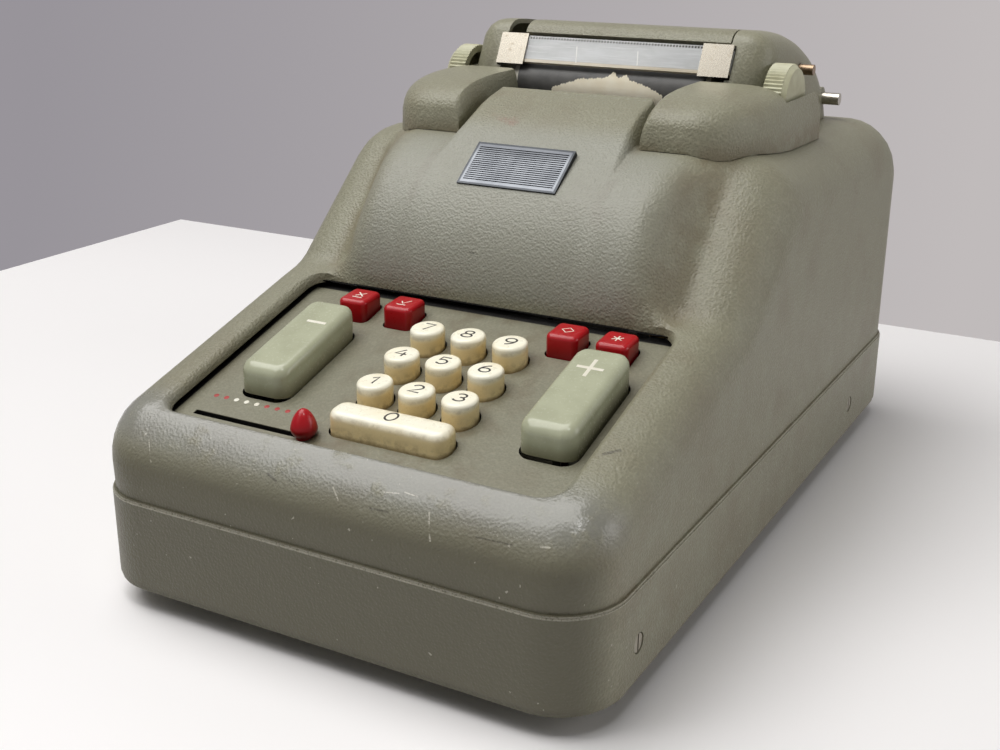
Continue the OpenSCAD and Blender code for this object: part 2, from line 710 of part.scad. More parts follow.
// Outline of the carriage from its front foot over the top to its rear foot, moved inwards by inset.
function carriage_outline(inset) =
    let (foot = [cap_front, platen_z + 7], front = [lid_front - 2, cap_top - 5] - foot,
         u = front/norm(front), a0 = foot + inset*[u[1], -u[0]],
         a = a0 + u*(cap_front + inset - a0[0])/u[0],
         c = a0 + u*(cap_top - inset - a0[1])/u[1],
         b = c - u*5.6*(1 - inset/24),
         top = [lid_front + 8 + inset/2, cap_top],
         back = [top, [mix(top[0], cap_back, 0.53), cap_top - 2], [mix(top[0], cap_back, 0.92), top_h + 26],
                 [cap_back, top_z(cap_back)]],
         p = [for (i = [0:17]) bezier(back, i/16)], start = top - [0, inset])
    concat([[cap_front + inset, top_z(cap_front + inset)], a, b],
        [for (i = [1:3]) mix(mix(b, c, i/4), mix(c, start, i/4), i/4)], [start],
        [for (i = [1:15]) let (d = p[i + 1] - p[i - 1]) p[i] + inset*[d[1], -d[0]]/norm(d)],
        [[cap_back - inset, top_z(cap_back - inset)]]);

module cap_loft(t, z_drop, x_open) {
    xs = concat([cap_in - x_open], [for (i = [0:5]) cap_out - cap_edge + (cap_edge - t)*sin(i*18)]);
    n = len(carriage_outline(0));
    loft([for (x = xs) let (s = max(0, x - cap_out + cap_edge)/(cap_edge - t),
            e = t + (cap_edge - t)*(1 - sqrt(max(0, 1 - s*s))),
            p = carriage_outline(e)) each [for (i = [0:n - 1])
                [x, p[i][0], p[i][1] - (i == 0 || i == n - 1 ? z_drop : 0)]]], n);
}

module right_cap() {
    color("DarkSeaGreen")
    difference() {
        union() {
            difference() {
                cap_loft(0, 0, 0);
                cap_loft(shell_t, cut, cut);
            }
            rod(platen_y, platen_z, axle_d + 8, cap_in + 2, cap_out + 0.4);
            rod(roll_y, roll_z, 10, cap_in + 2, cap_out - shell_t/2);
            rod(hinge_y, hinge_z, rod_d + 5, cap_in + 2, cap_out - shell_t/2);
        }
        rod(platen_y, platen_z, axle_d + 2*run, 0, cap_out + 5);
        rod(roll_y, roll_z, 6, 0, cap_out - shell_t - 1);
        rod(hinge_y, hinge_z, rod_d, 0, cap_out + 5);
        on_tear_bar(0, tear_l/2 + pass) translate([-clip_t - pass, -2])
            square([tear_t + 2*clip_t + 2*pass, tear_h + 2 + clip_t + pass]);
    }
}
module right_end_cap() {
    difference() {
        right_cap();
        translate([0, platen_y, platen_z]) rotate([90, 0, 90]) rotate([0, 0, release_a - release_swing])
            rotate_extrude(angle = release_swing) translate([release_r - release_d/2 - pass, cap_out - 8])
                square([release_d + 2*pass, 16]);
        for (a = [release_a, release_a - release_swing])
            rod(platen_y + release_r*cos(a), platen_z + release_r*sin(a), release_d + 2*pass, cap_out - 8,
                cap_out + 8);
    }
}
module left_end_cap() { mirror([1, 0, 0]) right_cap(); }

module roll_cover() {
    outer = carriage_outline(0);
    inner = carriage_outline(shell_t);
    deep = carriage_outline(9);
    m = len(outer) - 1;
    lo = 2;
    hi = m - 1;
    color("OliveDrab")
    difference() {
        union() {
            along_x(-lid_left, cover_half_w)
                polygon(concat([for (i = [lo:hi]) outer[i]], [for (i = [hi:-1:lo]) inner[i]]));
            for (x = [-lid_left, cover_half_w - 2]) along_x(x, x + 2)
                polygon(concat([for (i = [lo + 2:hi]) outer[i]], [[hinge_y + 3, hinge_z - 3],
                    [hinge_y - 4, hinge_z - 2]], [for (i = [hi - 2:-1:lo + 2]) deep[i]]));
            for (x = [-lid_left, cover_half_w - 8]) rod(hinge_y, hinge_z, rod_d + 5, x, x + 8);
        }
        rod(hinge_y, hinge_z, rod_d + 2*run, -cover_half, cover_half);
    }
}

module cover_hinge_rod() {
    color("Silver")
    rod(hinge_y, hinge_z, rod_d, -cap_out + shell_t, cap_out + 8);
}

module release_lever() {
    color("Goldenrod") {
        difference() {
            union() {
                rod(platen_y, platen_z, axle_d + 8, cap_in - 4, cap_in - 1);
                translate([cap_in - 3, platen_y, platen_z]) rotate([release_a, 0, 0]) translate([0, 0, -3])
                    cube([2, release_r, 6]);
                rod(release_y, release_z, release_d, cap_in - 3, cap_out + 7);
            }
            rod(platen_y, platen_z, axle_d + 2*run, 0, cover_half);
        }
    }
}

module platen() {
    color("Black")
    difference() {
        rod(platen_y, platen_z, platen_d, -platen_l/2, platen_l/2);
        rod(platen_y, platen_z, axle_d, -platen_l, platen_l);
    }
}

module platen_rings() {
    color("White")
    for (s = [-1, 1]) difference() {
        rod(platen_y, platen_z, platen_d - 1, s > 0 ? platen_l/2 : -platen_l/2 - 2.5,
            s > 0 ? platen_l/2 + 2.5 : -platen_l/2);
        rod(platen_y, platen_z, axle_d, -platen_l, platen_l);
    }
}

module platen_axle() {
    color("Silver")
    rod(platen_y, platen_z, axle_d, -knob_x - knob_w + 2, knob_x + knob_w - 2);
}

module right_platen_knob() {
    ribs = 56;
    color("PaleGoldenrod")
    translate([knob_x, platen_y, platen_z]) rotate([90, 0, 90]) difference() {
        union() {
            linear_extrude(knob_w - 2) polygon([for (i = [0:2*ribs - 1]) let (a = i*180/ribs)
                (knob_d/2 - (i%2)*0.5)*[cos(a), sin(a)]]);
            translate([0, 0, knob_w - 2]) cylinder(d1 = knob_d - 1, d2 = knob_d - 4, h = 2);
        }
        difference() {
            translate([0, 0, -cut]) cylinder(d = knob_d - 7, h = 6 + cut);
            translate([0, 0, -cut]) cylinder(d = axle_d + 6, h = 8 + cut);
        }
        translate([0, 0, -cut]) cylinder(d = axle_d, h = knob_w - 2 + cut);
    }
}
module left_platen_knob() { mirror([1, 0, 0]) right_platen_knob(); }

// Child drawn in the plane across the tear bar: first value along its thickness, second up its face.
module on_tear_bar(x0, x1) {
    translate([0, bar_foot[0], bar_foot[1]]) rotate([-lean, 0, 0]) along_x(x0, x1) children();
}

module tear_bar() {
    color("LightCyan", 0.5)
    on_tear_bar(-tear_l/2, tear_l/2)
        polygon([[0, 0], [tear_t, 0], [tear_t, tear_h - 1.5], [0.4, tear_h], [0, tear_h]]);
}

module tear_bar_clips() {
    color("Silver")
    for (s = [-1, 1]) on_tear_bar(s > 0 ? tear_l/2 - clip_w : -tear_l/2, s > 0 ? tear_l/2 : clip_w - tear_l/2)
        difference() {
            translate([-clip_t, -1.5]) square([tear_t + 2*clip_t, tear_h + 1.5 + clip_t]);
            translate([0, -2]) square([tear_t, tear_h + 2]);
            translate([tear_t - cut, -2]) square([clip_t + 2*cut, 2]);
        }
}

module tear_bar_brackets() {
    color("Black")
    for (x = [-cap_in - shell_t, cap_in + shell_t - bracket_w])
        translate([x, cap_front + shell_t, platen_z + 0.5]) cube([bracket_w, 1, 5.8]);
}

module paper_roll() {
    color("White")
    difference() {
        rod(roll_y, roll_z, roll_d, paper_x, paper_x + paper_w);
        rod(roll_y, roll_z, 6 + 2*run, -cover_half, cover_half);
    }
}

module roll_spindle() {
    color("Silver")
    rod(roll_y, roll_z, 6, -cap_out + shell_t + 1, cap_out - shell_t - 1);
}

module paper_strip() {
    r1 = platen_d/2 + pass;
    r2 = roll_d/2 + pass;
    d = [roll_y - platen_y, roll_z - platen_z];
    a = atan2(d[1], d[0]) - acos((r1 - r2)/norm(d));
    steps = 14;
    inner = concat([for (i = [0:steps]) let (t = 144 + (360 + a - 144)*i/steps)
        [platen_y, platen_z] + r1*[cos(t), sin(t)]], [[roll_y, roll_z] + r2*[cos(a), sin(a)]]);
    outer = concat([for (i = [0:steps]) let (t = 144 + (360 + a - 144)*i/steps)
        [platen_y, platen_z] + (r1 + paper_t)*[cos(t), sin(t)]],
        [[roll_y, roll_z] + (r2 + paper_t)*[cos(a), sin(a)]]);
    color("Cornsilk")
    along_x(paper_x, paper_x + paper_w) polygon(concat(inner, [for (i = [len(outer) - 1:-1:0]) outer[i]]));
}

module spool(s) {
    color("DarkSlateGray")
    translate([s*spool_x, spool_y, spool_z]) difference() {
        union() {
            cylinder(d = spool_d, h = 1);
            translate([0, 0, spool_h - 1]) cylinder(d = spool_d, h = 1);
            cylinder(d = spool_d - 2, h = spool_h);
        }
        translate([0, 0, -cut]) cylinder(d = post_d + 2*run, h = spool_h + 2*cut);
        translate([0, 0, spool_h - 2]) cylinder(d = post_d + 8, h = 3);
    }
}
module left_ribbon_spool() { spool(-1); }
module right_ribbon_spool() { spool(1); }

module spool_posts() {
    color("Silver")
    for (s = [-1, 1]) translate([s*spool_x, spool_y, post_z])
        cylinder(d = post_d, h = spool_z - post_z + spool_h - 0.5);
}

module ribbon() {
    color("MidnightBlue")
    translate([-spool_x, spool_y + spool_d/2 + pass, spool_z + 1]) cube([2*spool_x, 0.3, spool_h - 2]);
}

// Gear outline with involute flanks, a tooth centred on the first axis.
function involute(rb, r) = let (c = sqrt(max(0, pow(r/rb, 2) - 1))) c*180/PI - atan(c);
module gear_outline(n, m) {
    rp = n*m/2;
    rb = rp*cos(20);
    ra = rp + 0.8*m;
    rf = rp - 1.1*m;
    half = 90/n - 0.16/rp*180/PI;
    rs = [for (i = [0:4]) max(rb, rf) + (ra - max(rb, rf))*i/4];
    function flank(r) = half + involute(rb, rp) - involute(rb, r);
    tooth = concat([[rf, -flank(rs[0])]], [for (r = rs) [r, -flank(r)]],
        [for (i = [4:-1:0]) [rs[i], flank(rs[i])]], [[rf, flank(rs[0])]]);
    polygon([for (k = [0:n - 1], p = tooth) p[0]*[cos(k*360/n + p[1]), sin(k*360/n + p[1])]]);
}

module motor() {
    color("SteelBlue")
    difference() {
        union() {
            rod(motor_y, works_z, motor_d, motor_x, motor_x + motor_l);
            translate([motor_x + 8, motor_y - motor_d*0.35, floor_z])
                cube([motor_l - 16, motor_d*0.7, works_z - floor_z]);
            rod(motor_y, works_z, 20, motor_x - 5, motor_x + motor_l + 5);
        }
        rod(motor_y, works_z, 6 + 2*run, motor_x + motor_l - 30, motor_x + motor_l + 20);
    }
}

module motor_pinion() {
    color("Goldenrod") {
        rod(motor_y, works_z, 6, motor_x + motor_l - 28, gear_x + gear_w + 1);
        translate([gear_x, motor_y, works_z]) rotate([90, 0, 90]) rotate([0, 0, 180/pinion_n + 180])
            linear_extrude(gear_w + 1) gear_outline(pinion_n, gear_m);
    }
}

module drive_gear() {
    color("Peru")
    translate([gear_x, main_y, works_z]) rotate([90, 0, 90]) difference() {
        linear_extrude(gear_w) gear_outline(gear_n, gear_m);
        translate([0, 0, -cut]) cylinder(d = shaft_d, h = gear_w + 2*cut);
        for (a = [0:60:300]) rotate([0, 0, a]) translate([gear_n*gear_m*0.3, 0, -cut])
            cylinder(d = gear_n*gear_m*0.16, h = gear_w + 2*cut);
    }
}

module main_shaft() {
    color("Silver") {
        rod(main_y, works_z, shaft_d, -frame_x - frame_t - 1, frame_x + frame_t + 1);
        for (x = [-70, -40, 10]) translate([x, main_y, works_z]) rotate([90, 0, 90]) linear_extrude(5) {
            circle(shaft_d*0.9);
            translate([shaft_d*0.6, 0]) circle(shaft_d*0.75);
        }
    }
}

module number_wheels() {
    color("Gold")
    union() {
        rod(add_y, add_z, axle_d, -frame_x - frame_t - 1, frame_x + frame_t + 1);
        rod(add_y, add_z, axle_d + 4, -30, 30);
        for (k = [-5:5]) translate([k*5.2 - 1.25, add_y, add_z]) rotate([90, 0, 90])
            linear_extrude(2.5) polygon([for (i = [0:39]) (12 - (floor(i/2)%2)*2)*[cos(i*9), sin(i*9)]]);
    }
}

module sector_shaft() {
    color("Silver")
    rod(sector_y, sector_z, axle_d, -frame_x - frame_t, frame_x + frame_t);
}

module type_sectors() {
    color("Tan")
    difference() {
        union() {
            rod(sector_y, sector_z, axle_d + 6, -31, 31);
            for (k = [-5:5]) translate([k*5.2 - 0.75, sector_y, sector_z]) rotate([90, 0, 90])
                linear_extrude(1.5) polygon(concat([[-3, 0], [5, 0]], arc([0, 0], 58, 67, 62, 2),
                    arc([0, 0], 70, 60, 75, 6), [58*[cos(71), sin(71)]]));
        }
        rod(sector_y, sector_z, axle_d + 2*run, -cover_half, cover_half);
    }
}

base_tray();
top_cover();
keyboard_plate();
left_shoulder();
right_shoulder();
roll_cover();
left_end_cap();
right_end_cap();
name_plate();
rubber_feet();
case_screws();
power_inlet();
key_1();
key_2();
key_3();
key_4();
key_5();
key_6();
key_7();
key_8();
key_9();
key_0();
minus_bar();
plus_bar();
non_add_key();
repeat_key();
subtotal_key();
total_key();
column_knob();
column_slide();
slide_rods();
key_guide();
left_frame();
right_frame();
frame_ties();
platen();
platen_rings();
platen_axle();
left_platen_knob();
right_platen_knob();
tear_bar();
tear_bar_clips();
tear_bar_brackets();
paper_roll();
roll_spindle();
paper_strip();
cover_hinge_rod();
release_lever();
left_ribbon_spool();
right_ribbon_spool();
spool_posts();
ribbon();
motor();
motor_pinion();
drive_gear();
main_shaft();
number_wheels();
sector_shaft();
type_sectors();
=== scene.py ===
import bpy
import json
import math
from mathutils import Matrix, Vector


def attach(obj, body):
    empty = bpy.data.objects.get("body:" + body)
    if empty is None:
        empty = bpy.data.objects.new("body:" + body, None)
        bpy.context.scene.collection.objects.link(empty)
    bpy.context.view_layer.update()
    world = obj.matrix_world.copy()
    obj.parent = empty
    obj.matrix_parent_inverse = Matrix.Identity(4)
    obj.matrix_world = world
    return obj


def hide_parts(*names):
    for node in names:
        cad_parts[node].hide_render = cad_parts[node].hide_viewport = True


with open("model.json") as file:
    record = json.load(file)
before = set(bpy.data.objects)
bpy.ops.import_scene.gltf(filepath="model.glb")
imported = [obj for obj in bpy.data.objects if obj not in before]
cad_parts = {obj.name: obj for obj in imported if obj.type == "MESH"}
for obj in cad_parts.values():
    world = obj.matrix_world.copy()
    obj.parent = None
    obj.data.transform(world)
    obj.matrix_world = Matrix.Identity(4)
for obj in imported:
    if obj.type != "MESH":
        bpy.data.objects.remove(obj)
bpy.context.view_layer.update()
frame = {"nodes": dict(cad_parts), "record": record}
nodes = frame["nodes"]
bodyOf = {n: b for b, ns in frame["record"]["behaviour"]["bodies"].items() for n in ns}
slotOf = {s["node"]: s["material_slot"] for s in frame["record"]["subparts"]}
mm = 0.001
print("frame loaded:", len(nodes), "nodes")


# colours are written as seen on screen and turned into linear light here
def linear(level):
    return level / 255 / 12.92 if level < 10.31 else ((level / 255 + 0.055) / 1.055) ** 2.4


def rgb(red, green, blue):
    return linear(red), linear(green), linear(blue), 1.0


# a socket of a finish, to be reckoned with like a number
class Sock:
    def __init__(self, finish, socket):
        self.finish, self.socket = finish, socket

    def math(self, operation, a, b=0.0):
        return self.finish.node("ShaderNodeMath", {"operation": operation}, {0: a, 1: b})

    def __add__(self, b):
        return self.math("ADD", self, b)

    def __radd__(self, b):
        return self.math("ADD", b, self)

    def __sub__(self, b):
        return self.math("SUBTRACT", self, b)

    def __rsub__(self, b):
        return self.math("SUBTRACT", b, self)

    def __mul__(self, b):
        return self.math("MULTIPLY", self, b)

    def __truediv__(self, b):
        return self.math("DIVIDE", self, b)

    def __abs__(self):
        return self.math("ABSOLUTE", self)

    def __pow__(self, b):
        return self.math("POWER", self, b)

    def most(self, b):
        return self.math("MAXIMUM", self, b)

    def least(self, b):
        return self.math("MINIMUM", self, b)

    def fraction(self):
        return self.math("FRACT", self)

    # 0 below low and 1 above high, with a soft step between; low may be above high
    def step(self, low, high):
        flip = low > high
        made = self.finish.node("ShaderNodeMapRange", {"interpolation_type": "SMOOTHSTEP"},
                                {"Value": self, "From Min": min(low, high), "From Max": max(low, high)})
        return 1 - made if flip else made

    # 1 within half of width round centre, fading over soft; places are in millimetres
    def band(self, centre, width, soft):
        return abs(self - centre).step(width / 2 + soft, width / 2)


# a material; x, y and z are the place on the object in millimetres
class Finish:
    def __init__(self, name):
        self.material = bpy.data.materials.new(name)
        self.material.use_nodes = True
        self.tree = self.material.node_tree
        self.shader = self.tree.nodes["Principled BSDF"]
        self.point = self.node("ShaderNodeTexCoord", out="Object")
        self.x, self.y, self.z = (self.node("ShaderNodeSeparateXYZ", inputs={0: self.point}, out=i) * 1000
                                  for i in range(3))

    def node(self, kind, settings=None, inputs=None, out=0):
        made = self.tree.nodes.new(kind)
        for key, value in (settings or {}).items():
            setattr(made, key, value)
        for key, value in (inputs or {}).items():
            self.put(made.inputs[key], value)
        return Sock(self, made.outputs[out])

    def put(self, socket, value):
        if isinstance(value, Sock):
            self.tree.links.new(value.socket, socket)
        else:
            socket.default_value = value

    def set(self, inputs):
        for key, value in inputs.items():
            self.put(self.shader.inputs[key], value)

    def mix(self, share, a, b, how="MIX"):
        kind = {"data_type": "RGBA", "blend_type": how}
        return self.node("ShaderNodeMix", kind, {0: share, 6: a, 7: b}, 2)

    # grains of about size millimetres
    def noise(self, size, detail=2.0, rough=0.5, stretch=(1, 1, 1), seed=(0, 0, 0)):
        spread = {"Vector": self.point, "Scale": stretch, "Location": seed}
        place = self.node("ShaderNodeMapping", inputs=spread)
        grains = {"Vector": place, "Scale": 1000 / size, "Detail": detail, "Roughness": rough}
        return self.node("ShaderNodeTexNoise", inputs=grains)

    # rounded cells of about size millimetres
    def cells(self, size, smooth):
        kind = {"feature": "SMOOTH_F1", "voronoi_dimensions": "3D"}
        spread = {"Vector": self.point, "Scale": 1000 / size, "Smoothness": smooth}
        return self.node("ShaderNodeTexVoronoi", kind, spread)

    # height is a share of depth, which is in millimetres
    def bump(self, height, strength, depth):
        relief = {"Height": height, "Strength": strength, "Distance": depth * mm}
        self.set({"Normal": self.node("ShaderNodeBump", inputs=relief)})

    # 1 along the straight scratch from a to b, in millimetres
    def stroke(self, a, b, width):
        a, b = Vector(a) * mm, Vector(b) * mm
        along = b - a
        start = self.node("ShaderNodeVectorMath", {"operation": "SUBTRACT"}, {0: self.point, 1: a})
        share = self.node("ShaderNodeVectorMath", {"operation": "DOT_PRODUCT"},
                          {0: start, 1: along / along.length_squared}, "Value").most(0.0).least(1.0)
        reach = self.node("ShaderNodeVectorMath", {"operation": "SCALE"}, {0: along, "Scale": share})
        gap = self.node("ShaderNodeVectorMath", {"operation": "DISTANCE"}, {0: start, 1: reach}, "Value")
        return (gap * 1000).step(width, width * 0.4)


# measures of the machine that the pieces below share, in millimetres
seamZ = 48.0
deck = {"y": -113.2, "z": 90.2, "slope": math.radians(15.9), "half": 86.0, "backY": -66.2, "keysX": 8.6}
platenAt = {"y": 61.0018, "z": 182.0, "radius": 13.0}
rollAt = {"y": 113.351, "z": 171.0, "radius": 25.0}
tearBar = {"y": 49.0018, "z": 193.2, "lean": math.radians(26)}


# x across the deck, v up its slope and up straight above it
def onDeck(x, v, up):
    y = deck["y"] + v * math.cos(deck["slope"])
    z = deck["z"] + v * math.sin(deck["slope"]) + up
    return Vector((x, y, z)) * mm


# how far the places of a finish stand over the deck, in millimetres
def deckHeight(f):
    return (f.z - deck["z"]) * math.cos(deck["slope"]) - (f.y - deck["y"]) * math.sin(deck["slope"])


enamelLook = {"paint": rgb(138, 136, 115), "pale": rgb(164, 162, 140), "deep": rgb(92, 89, 71),
              "dirt": rgb(98, 80, 52), "worn": rgb(128, 129, 126), "paintedLight": rgb(152, 153, 144),
              "chip": rgb(196, 192, 178), "scar": rgb(46, 42, 36), "red": rgb(128, 62, 52),
              "gap": rgb(9, 9, 8), "paintedShade": rgb(12, 11, 10),
              "grain": 1.05, "relief": 0.45, "roughness": 0.42}


# hammered paint, to which wear is added shade by shade
class Enamel(Finish):
    def __init__(self, name):
        super().__init__(name)
        grain = self.cells(enamelLook["grain"], 0.8)
        self.fine = self.noise(0.75, 3.0, 0.6)
        self.blotch = self.noise(11, 4.0, 0.6)
        speck = (self.fine * 0.65 + grain * 0.45).step(0.42, 0.78)
        self.colour = self.mix(speck, enamelLook["deep"], enamelLook["pale"])
        self.tone(0.8, "paint")
        self.tone(self.noise(38, 3.0, 0.55).step(0.45, 0.7) * 0.22, "dirt")
        self.rough = enamelLook["roughness"] + (self.fine - 0.5) * 0.25
        self.height = grain * 0.7 + self.fine * 0.6

    def tone(self, share, shade):
        self.colour = self.mix(share, self.colour, enamelLook[shade])


# scratches on the roll in front of the keys and the rail, by shade: from, to, width
caseScars = {
    "chip": (
        ((44.9, -182.0, 71.3), (47.7, -186.0, 63.3), 0.45),
        ((4.9, -181.7, 71.7), (8.4, -183.8, 68.4), 0.35),
        ((25.2, -179.8, 73.7), (31.0, -179.3, 74.3), 0.3),
        ((33.0, -178.6, 74.9), (38.6, -179.0, 74.6), 0.3),
        ((-81.3, -181.6, 71.9), (-77.4, -185.4, 65.0), 0.3),
        ((88.0, -182.9, 69.8), (91.0, -182.6, 70.2), 0.45),
    ),
    "scar": (
        ((21.9, -183.7, 68.4), (29.3, -183.6, 68.6), 0.5),
        ((64.4, -184.0, 68.0), (77.8, -183.8, 68.4), 0.4),
        ((-23.5, -182.3, 70.7), (-19.3, -183.2, 69.3), 0.6),
        ((-19.1, -180.8, 72.7), (-10.3, -183.2, 69.3), 0.25),
        ((91.5, -143.5, 88.6), (95.5, -140.0, 89.4), 1.1),
        ((-9.0, -62.9, 128.2), (-7.0, -62.9, 128.2), 0.5),
    ),
}
scarStrength = {"chip": 0.75, "scar": 0.6}


# grime in the hollows beside the panel, along the hood, at the seam and on the flanks; the base is also
# darker towards its bottom
def caseGrime(e):
    side = abs(e.x)
    hollow = side.band(77, 6, 9) * e.y.band(-28, 50, 26) * e.z.step(96, 108)
    beside = side.band(43.6, 1.6, 3.0) * e.y.band(-22, 60, 8) * e.z.step(128, 140)
    foot = e.y.band(-60, 6, 10) * e.z.band(112, 10, 14) * e.x.step(36, 62) * side.step(96, 80)
    seam = e.z.band(seamZ + 0.3, 0.5, 1.6) * 0.8
    under = e.z.step(26, 9) * 0.7
    flank = side.step(100, 109) * e.z.step(150, 60) * 0.45
    grime = hollow.most(beside).most(foot).most(seam).most(under).most(flank)
    e.tone(grime * e.blotch.step(0.3, 0.62) * 0.36, "dirt")


def caseWear(e):
    side = abs(e.x)
    caseGrime(e)
    # painted light: the bulging panel is painted paler
    panel = side.step(76, 54) * e.y.band(-44, 44, 14) * e.z.step(106, 116)
    e.tone(panel * 0.6, "paintedLight")
    # hands have polished the roll in front of the keys
    roll = e.y.step(-152, -172) * e.z.step(64, 76) * e.blotch.step(0.2, 0.48)
    e.tone(roll * 0.6, "worn")
    e.rough = e.rough - roll * 0.24
    e.height = e.height * (1 - roll * 0.75)
    # painted shade: the upright front below the roll is painted in the deep tone
    e.tone(e.y.step(-168, -184) * e.z.step(74, 60), "deep")
    # painted highlight: the lip of the base is painted pale along the seam
    lipHighlight = e.z.band(seamZ - 0.75, 0.8, 0.35) * e.fine.step(0.3, 0.5)
    e.tone(lipHighlight * 0.45, "chip")
    chips = e.noise(2.6, seed=(3, 1, 7)).step(0.735, 0.76) * e.z.step(120, 60)
    e.tone(chips * 0.5, "chip")
    smear = e.stroke((-26, -9, 177), (-15.3, -12.8, 175), 4.0) * e.blotch.step(0.4, 0.6)
    e.tone(smear * e.fine.step(0.35, 0.6) * 0.45, "red")
    # painted shade: the cut edge at the foot of the bulging panel, which lies in the dark gap over the deck,
    # is painted black
    gap = e.z.step(107.5, 107.1) * e.y.band(-64.5, 4.0, 0.6) * side.step(84, 80)
    e.tone(gap, "gap")
    e.rough = e.rough.most(gap)
    for shade, scars in caseScars.items():
        for start, end, width in scars:
            e.tone(e.stroke(start, end, width) * e.fine.step(0.3, 0.55) * scarStrength[shade], shade)


# a chip near the hood, and grime towards the foot
def shoulderWear(e):
    chip = e.stroke((44.6, 3.0, 187.0), (47.4, 8.0, 187.8), 1.7) * e.blotch.step(0.3, 0.5)
    e.tone(chip * 0.7, "chip")
    foot = e.z.step(176, 166) * e.blotch.step(0.3, 0.6)
    e.tone(foot * 0.45, "dirt")


# dust round the keys, and painted shade: cut edges of the wells and the slot, and what lies under the lip,
# are painted black
def deckWear(e):
    dust = e.blotch.step(0.42, 0.68) * abs(e.x - deck["keysX"]).band(0, 66, 12)
    e.tone(dust * 0.4, "dirt")
    edges = deckHeight(e).step(-0.12, -0.4)
    sides = abs(e.x).step(deck["half"] - 0.6, deck["half"] + 0.2)
    back = e.y.step(deck["backY"] - 0.8, deck["backY"])
    e.tone(edges.most(sides).most(back), "paintedShade")


def hammeredEnamel(name, tint, depth, wear=None):
    e = Enamel(name)
    if wear:
        wear(e)
    colour = e.mix(1.0, e.colour, (tint, tint, tint, 1.0), "MULTIPLY")
    e.set({"Base Color": colour, "Roughness": e.rough})
    e.bump(e.height, depth, enamelLook["relief"])
    return e


keyLook = {"cream": rgb(252, 248, 228), "sun": rgb(240, 211, 136), "grime": rgb(116, 90, 48),
           "roughness": 0.3, "coat": 0.15}


# the keys have yellowed below their tops, grime sits on the rim and the side, and the foot is darker
def creamPlastic():
    f = Finish("creamPlastic")
    high = deckHeight(f)
    patch = f.noise(3.2, 4.0, 0.65)
    colour = f.mix(f.noise(14).step(0.4, 0.75) * 0.2, keyLook["cream"], keyLook["sun"])
    colour = f.mix(high.step(8.0, 5.0) * 0.7, colour, keyLook["sun"])
    rim = high.band(6.9, 0.5, 0.9) * patch.step(0.38, 0.66) * 0.25
    side = high.step(5.6, 0.2) * patch.step(0.36, 0.7) * 0.45
    foot = high.step(1.6, -0.2) * 0.5
    for grime in (rim, side, foot):
        colour = f.mix(grime, colour, keyLook["grime"])
    rough = keyLook["roughness"] + (patch - 0.5) * 0.3
    f.set({"Base Color": colour, "Roughness": rough, "Coat Weight": keyLook["coat"]})
    f.bump(patch, 0.06, 0.2)
    return f


def glossPlastic(name, colour, shade, roughness, coat):
    f = Finish(name)
    cloud = f.noise(9, 3.0)
    dust = f.noise(1.2, 3.0, 0.6)
    body = f.mix(cloud.step(0.35, 0.7) * 0.14, colour, shade)
    # painted shade: bars and red keys are painted darker towards the deck
    body = f.mix(deckHeight(f).step(7.5, 0.0) * 0.8, body, shade)
    body = f.mix(dust.step(0.68, 0.74) * 0.12, body, shade)
    f.set({"Base Color": body, "Roughness": roughness + dust * 0.12, "Coat Weight": coat,
           "Coat Roughness": 0.08, "Specular IOR Level": 0.3})
    f.bump(cloud, 0.03, 0.3)
    return f


def metal(name, colour, roughness, stain, stretch=(1, 1, 1)):
    f = Finish(name)
    brushed = f.noise(0.5, 3.0, 0.6, stretch)
    spots = f.noise(3.5, 4.0, 0.65)
    tone = f.mix(spots.step(0.55, 0.75) * 0.5, colour, stain)
    rough = roughness + (brushed - 0.5) * 0.2 + spots.step(0.6, 0.8) * 0.2
    f.set({"Base Color": tone, "Metallic": 1.0, "Roughness": rough})
    f.bump(brushed, 0.03, 0.1)
    return f


def dullFinish(name, colour, shade, roughness, grain=1.0, depth=0.1):
    f = Finish(name)
    fine = f.noise(grain, 3.0, 0.6)
    tone = f.mix(f.noise(8, 3.0).step(0.3, 0.7) * 0.7, colour, shade)
    f.set({"Base Color": tone, "Roughness": roughness + (fine - 0.5) * 0.2})
    f.bump(fine, depth, 0.2)
    return f


# bare ribbed plate: a dark rim round paler ribs
plateAt = {"x": -1.0, "y": -37.3, "z": 159.5, "tilt": math.radians(36.6), "wide": 46.6, "high": 24.0,
           "rim": 0.9, "fade": 0.2}
plateLook = {"bright": rgb(112, 115, 119), "dull": rgb(88, 91, 96), "top": rgb(52, 54, 58),
             "rim": rgb(40, 42, 44)}


def ribbedChrome():
    f = Finish("ribbedChrome")
    p = plateAt
    along = (f.y - p["y"]) * math.cos(p["tilt"]) + (f.z - p["z"]) * math.sin(p["tilt"])
    insideX, insideY = p["wide"] / 2 - p["rim"], p["high"] / 2 - p["rim"]
    rim = abs(f.x - p["x"]).step(insideX - p["fade"], insideX)
    rim = rim.most(abs(along).step(insideY - p["fade"], insideY))
    cloud = f.noise(9, 3.0)
    tone = f.mix(cloud.step(0.3, 0.7) * 0.5, plateLook["bright"], plateLook["dull"])
    # painted shade: the upper part of the plate is painted darker
    tone = f.mix(along.step(2.0, 11.0) * 0.55, tone, plateLook["top"])
    tone = f.mix(rim * 0.75, tone, plateLook["rim"])
    f.set({"Base Color": tone, "Metallic": 1.0, "Roughness": 0.36 + (cloud - 0.5) * 0.1})
    f.bump(cloud, 0.02, 0.2)
    return f


# the ends of the roll show its turns
def woundPaper(name, colour, shade):
    f = Finish(name)
    across = ((f.y - rollAt["y"]) ** 2.0 + (f.z - rollAt["z"]) ** 2.0) ** 0.5
    turns = (across * 0.9 + f.noise(20) * 0.6).fraction()
    end = across.step(rollAt["radius"] - 0.2, rollAt["radius"] - 0.6)
    line = turns.band(0.5, 0.3, 0.3) * end
    f.set({"Base Color": f.mix(line * 0.6, colour, shade), "Roughness": 0.85})
    f.bump(line, 0.2, 0.2)
    return f


